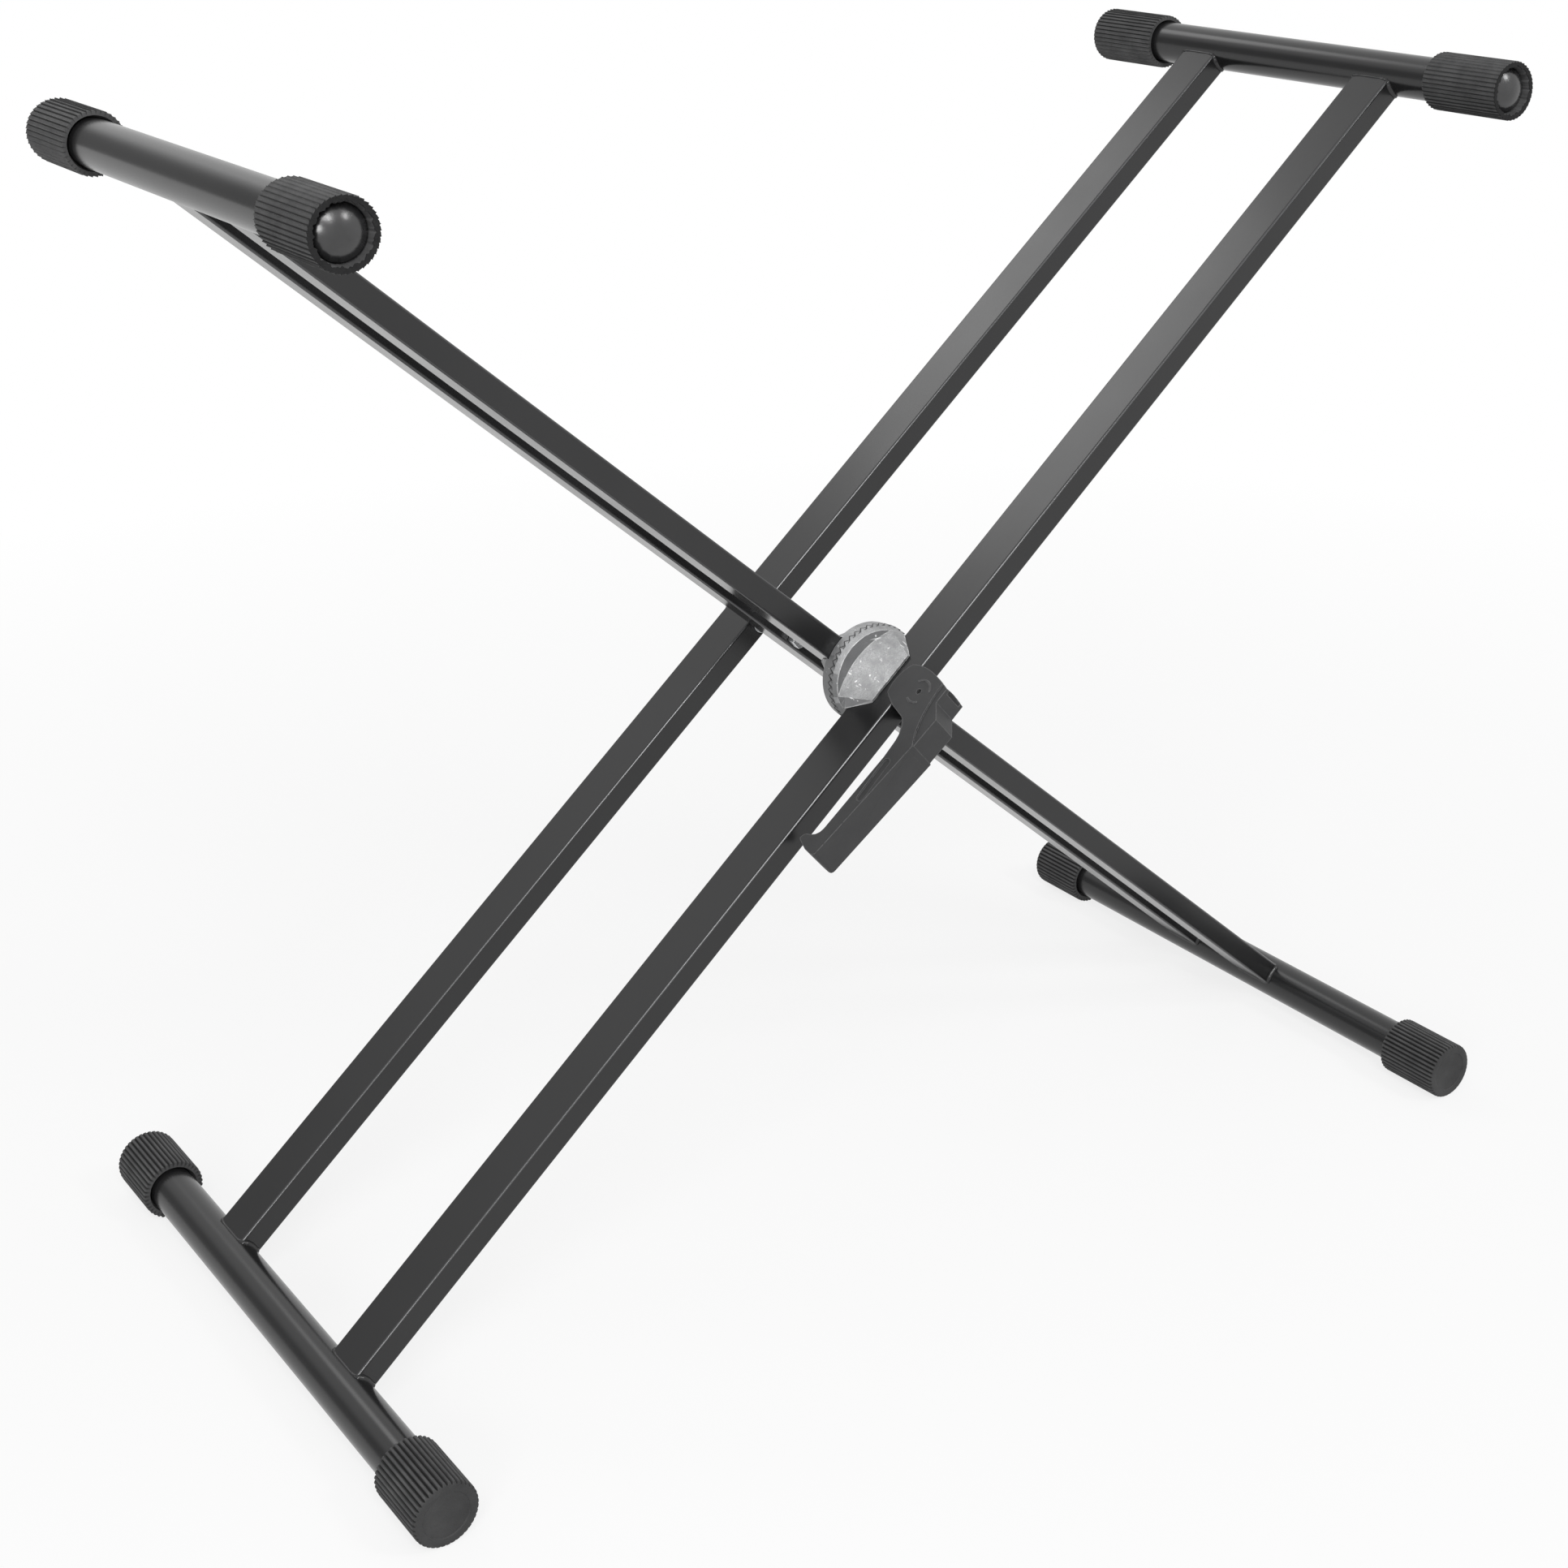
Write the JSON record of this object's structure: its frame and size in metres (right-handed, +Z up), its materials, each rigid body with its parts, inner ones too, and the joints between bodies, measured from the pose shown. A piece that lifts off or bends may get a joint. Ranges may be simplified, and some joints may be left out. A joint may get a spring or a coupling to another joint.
{
  "type": "keyboard stand",
  "caption": "Folding X-shaped keyboard stand of double tube legs, with a toothed clutch and cam lever at the crossing and ribbed rubber on its bars' ends.",
  "frame": {"origin": "bottom centre of the bounding box, on the floor, with the stand set up as in the picture", "axes": "+Z up; +Y along the pivot axis towards the rear, so the clutch and lever are on the -Y side; +X to the right seen from the front, the way the outer frame's legs rise"},
  "size_m": [0.797, 0.412, 0.6862],
  "materials": {
    "frame_paint": "satin black powder coat on steel tube, with a soft sheen and pale edge highlights",
    "black_rubber": "matt charcoal rubber, moulded ribs",
    "plug_plastic": "glossy black moulded plug with a domed face",
    "zinc_casting": "raw die-cast zinc, mid grey and mottled, with bright scuffs on the edges",
    "lever_plastic": "matt charcoal glass-filled nylon, moulded",
    "plated_steel": "bright zinc-plated steel"
  },
  "bodies": {
    "outer_frame": {"outer_leg_front": "frame_paint", "outer_leg_rear": "frame_paint", "outer_top_bar": "frame_paint", "outer_bottom_bar": "frame_paint", "outer_sleeve_front": "black_rubber", "outer_plug_front": "plug_plastic", "outer_foot_front": "black_rubber", "outer_sleeve_rear": "black_rubber", "outer_plug_rear": "plug_plastic", "outer_foot_rear": "black_rubber", "clutch_outer": "zinc_casting", "clutch_spring": "plated_steel", "thrust_plate": "plated_steel", "rear_nut": "plated_steel", "rear_bolt": "plated_steel", "rear_washer": "plated_steel"},
    "draw_bolt": {"draw_bolt": "plated_steel", "draw_nut": "plated_steel", "lever_pin": "plated_steel"},
    "inner_frame": {"inner_leg_front": "frame_paint", "inner_leg_rear": "frame_paint", "inner_top_bar": "frame_paint", "inner_bottom_bar": "frame_paint", "inner_sleeve_front": "black_rubber", "inner_plug_front": "plug_plastic", "inner_foot_front": "black_rubber", "inner_sleeve_rear": "black_rubber", "inner_plug_rear": "plug_plastic", "inner_foot_rear": "black_rubber", "clutch_inner": "zinc_casting", "draw_washer": "plated_steel"},
    "release_lever": {"release_lever": "lever_plastic"}
  },
  "joints": [
    {"name": "clutch_draw", "type": "slide", "parent": "outer_frame", "child": "draw_bolt", "axis": [0, 1, 0], "range_m": [0, 0.003]},
    {"name": "fold", "type": "hinge", "parent": "draw_bolt", "child": "inner_frame", "pos_m": [-0.00254, 0, 0.34098], "axis": [0, 1, 0], "range_deg": [-73.64, 90]},
    {"name": "lever_turn", "type": "hinge", "parent": "draw_bolt", "child": "release_lever", "pos_m": [-0.00254, -0.108, 0.34098], "axis": [-0.6496, 0, 0.7603], "range_deg": [0, 70]}
  ],
  "couplings": [
    {"joint": "lever_turn", "follows": "clutch_draw", "rad_per_m": 407.24}
  ]
}
